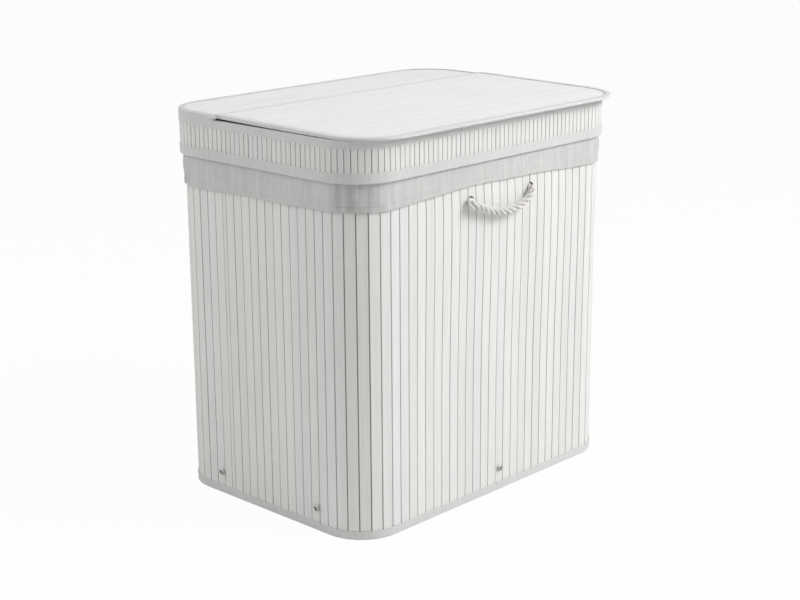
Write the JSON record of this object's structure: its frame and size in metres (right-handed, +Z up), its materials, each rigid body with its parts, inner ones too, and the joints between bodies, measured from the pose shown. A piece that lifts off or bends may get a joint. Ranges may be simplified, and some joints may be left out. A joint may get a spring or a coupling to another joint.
{
  "type": "laundry hamper",
  "caption": "Rounded rectangular laundry hamper of painted upright boards with a lift-out cloth liner in two bins, rope handles, and a lift-off lid with a hinged flap.",
  "frame": {"origin": "on the floor, at the middle of the whole outline without the rope handles", "axes": "+Z up, -Y out of the wide front wall, +X to the right as one faces the front"},
  "size_m": [0.6004, 0.4522, 0.601],
  "materials": {
    "painted_boards": "warm white paint, satin, fine grain showing",
    "binding_tape": "light grey woven tape, matte",
    "liner_linen": "light grey linen-look weave, matte",
    "backing_cloth": "off-white backing cloth, matte",
    "cotton_rope": "off-white three-strand cotton rope, matte",
    "bare_wood": "unpainted pale wood, matte",
    "screw_steel": "nickel-plated steel, satin"
  },
  "bodies": {
    "base": {"wall_boards_left_rear": "painted_boards", "wall_boards_left_front": "painted_boards", "wall_boards_front": "painted_boards", "wall_boards_right": "painted_boards", "wall_boards_back": "painted_boards", "wall_boards_front_left_corner": "painted_boards", "wall_boards_front_right_corner": "painted_boards", "wall_boards_back_right_corner": "painted_boards", "wall_boards_back_left_corner": "painted_boards", "wall_joint_board": "painted_boards", "wall_backing_cloth": "backing_cloth", "wall_bottom_tape": "binding_tape", "wall_top_tape": "binding_tape", "rim_hoop": "bare_wood", "base_batten_front": "bare_wood", "base_batten_back": "bare_wood", "base_batten_left": "bare_wood", "base_batten_right": "bare_wood", "base_board": "bare_wood", "base_screw_front": "screw_steel", "base_screw_back": "screw_steel", "base_screw_left_front": "screw_steel", "base_screw_left_rear": "screw_steel", "base_screw_right_front": "screw_steel", "base_screw_right_rear": "screw_steel", "rope_end_front_left": "cotton_rope", "rope_end_front_right": "cotton_rope", "rope_end_back_left": "cotton_rope", "rope_end_back_right": "cotton_rope"},
    "front_handle": {"front_rope_handle": "cotton_rope"},
    "back_handle": {"back_rope_handle": "cotton_rope"},
    "liner": {"liner_cuff": "liner_linen", "liner_bag": "liner_linen", "liner_divider": "liner_linen", "liner_floor_left": "liner_linen", "liner_floor_right": "liner_linen"},
    "lid": {"lid_strips_left": "painted_boards", "lid_strips_front_left_corner": "painted_boards", "lid_strips_front": "painted_boards", "lid_strips_front_right_corner": "painted_boards", "lid_strips_right": "painted_boards", "lid_strips_back_right_corner": "painted_boards", "lid_strips_back": "painted_boards", "lid_strips_back_left_corner": "painted_boards", "lid_bottom_tape": "binding_tape", "lid_rim_tape_front": "binding_tape", "lid_rim_tape_rear": "binding_tape", "lid_skirt_cloth": "backing_cloth", "lid_frame": "bare_wood", "lid_rear_rail": "bare_wood", "lid_crossbar": "bare_wood", "hinge_cloth": "backing_cloth", "lid_rear_panel": "painted_boards", "lid_rear_cloth": "backing_cloth"},
    "flap": {"flap_panel": "painted_boards", "flap_cloth": "backing_cloth", "flap_edge_tape": "binding_tape"}
  },
  "joints": [
    {"name": "liner_lift", "type": "slide", "parent": "base", "child": "liner", "axis": [0, 0, 1], "range_m": [0, 0.54]},
    {"name": "lid_lift", "type": "slide", "parent": "liner", "child": "lid", "axis": [0, 0, 1], "range_m": [0, 0.08]},
    {"name": "flap_hinge", "type": "hinge", "parent": "lid", "child": "flap", "pos_m": [-0.00235, 0.09156, 0.601], "axis": [-1, 0, 0], "range_deg": [0, 170]},
    {"name": "front_handle_swing", "type": "hinge", "parent": "base", "child": "front_handle", "pos_m": [0.00565, -0.21019, 0.4765], "axis": [-1, 0, 0], "range_deg": [0, 150]},
    {"name": "back_handle_swing", "type": "hinge", "parent": "base", "child": "back_handle", "pos_m": [-0.01035, 0.22531, 0.4765], "axis": [1, 0, 0], "range_deg": [0, 150]}
  ]
}
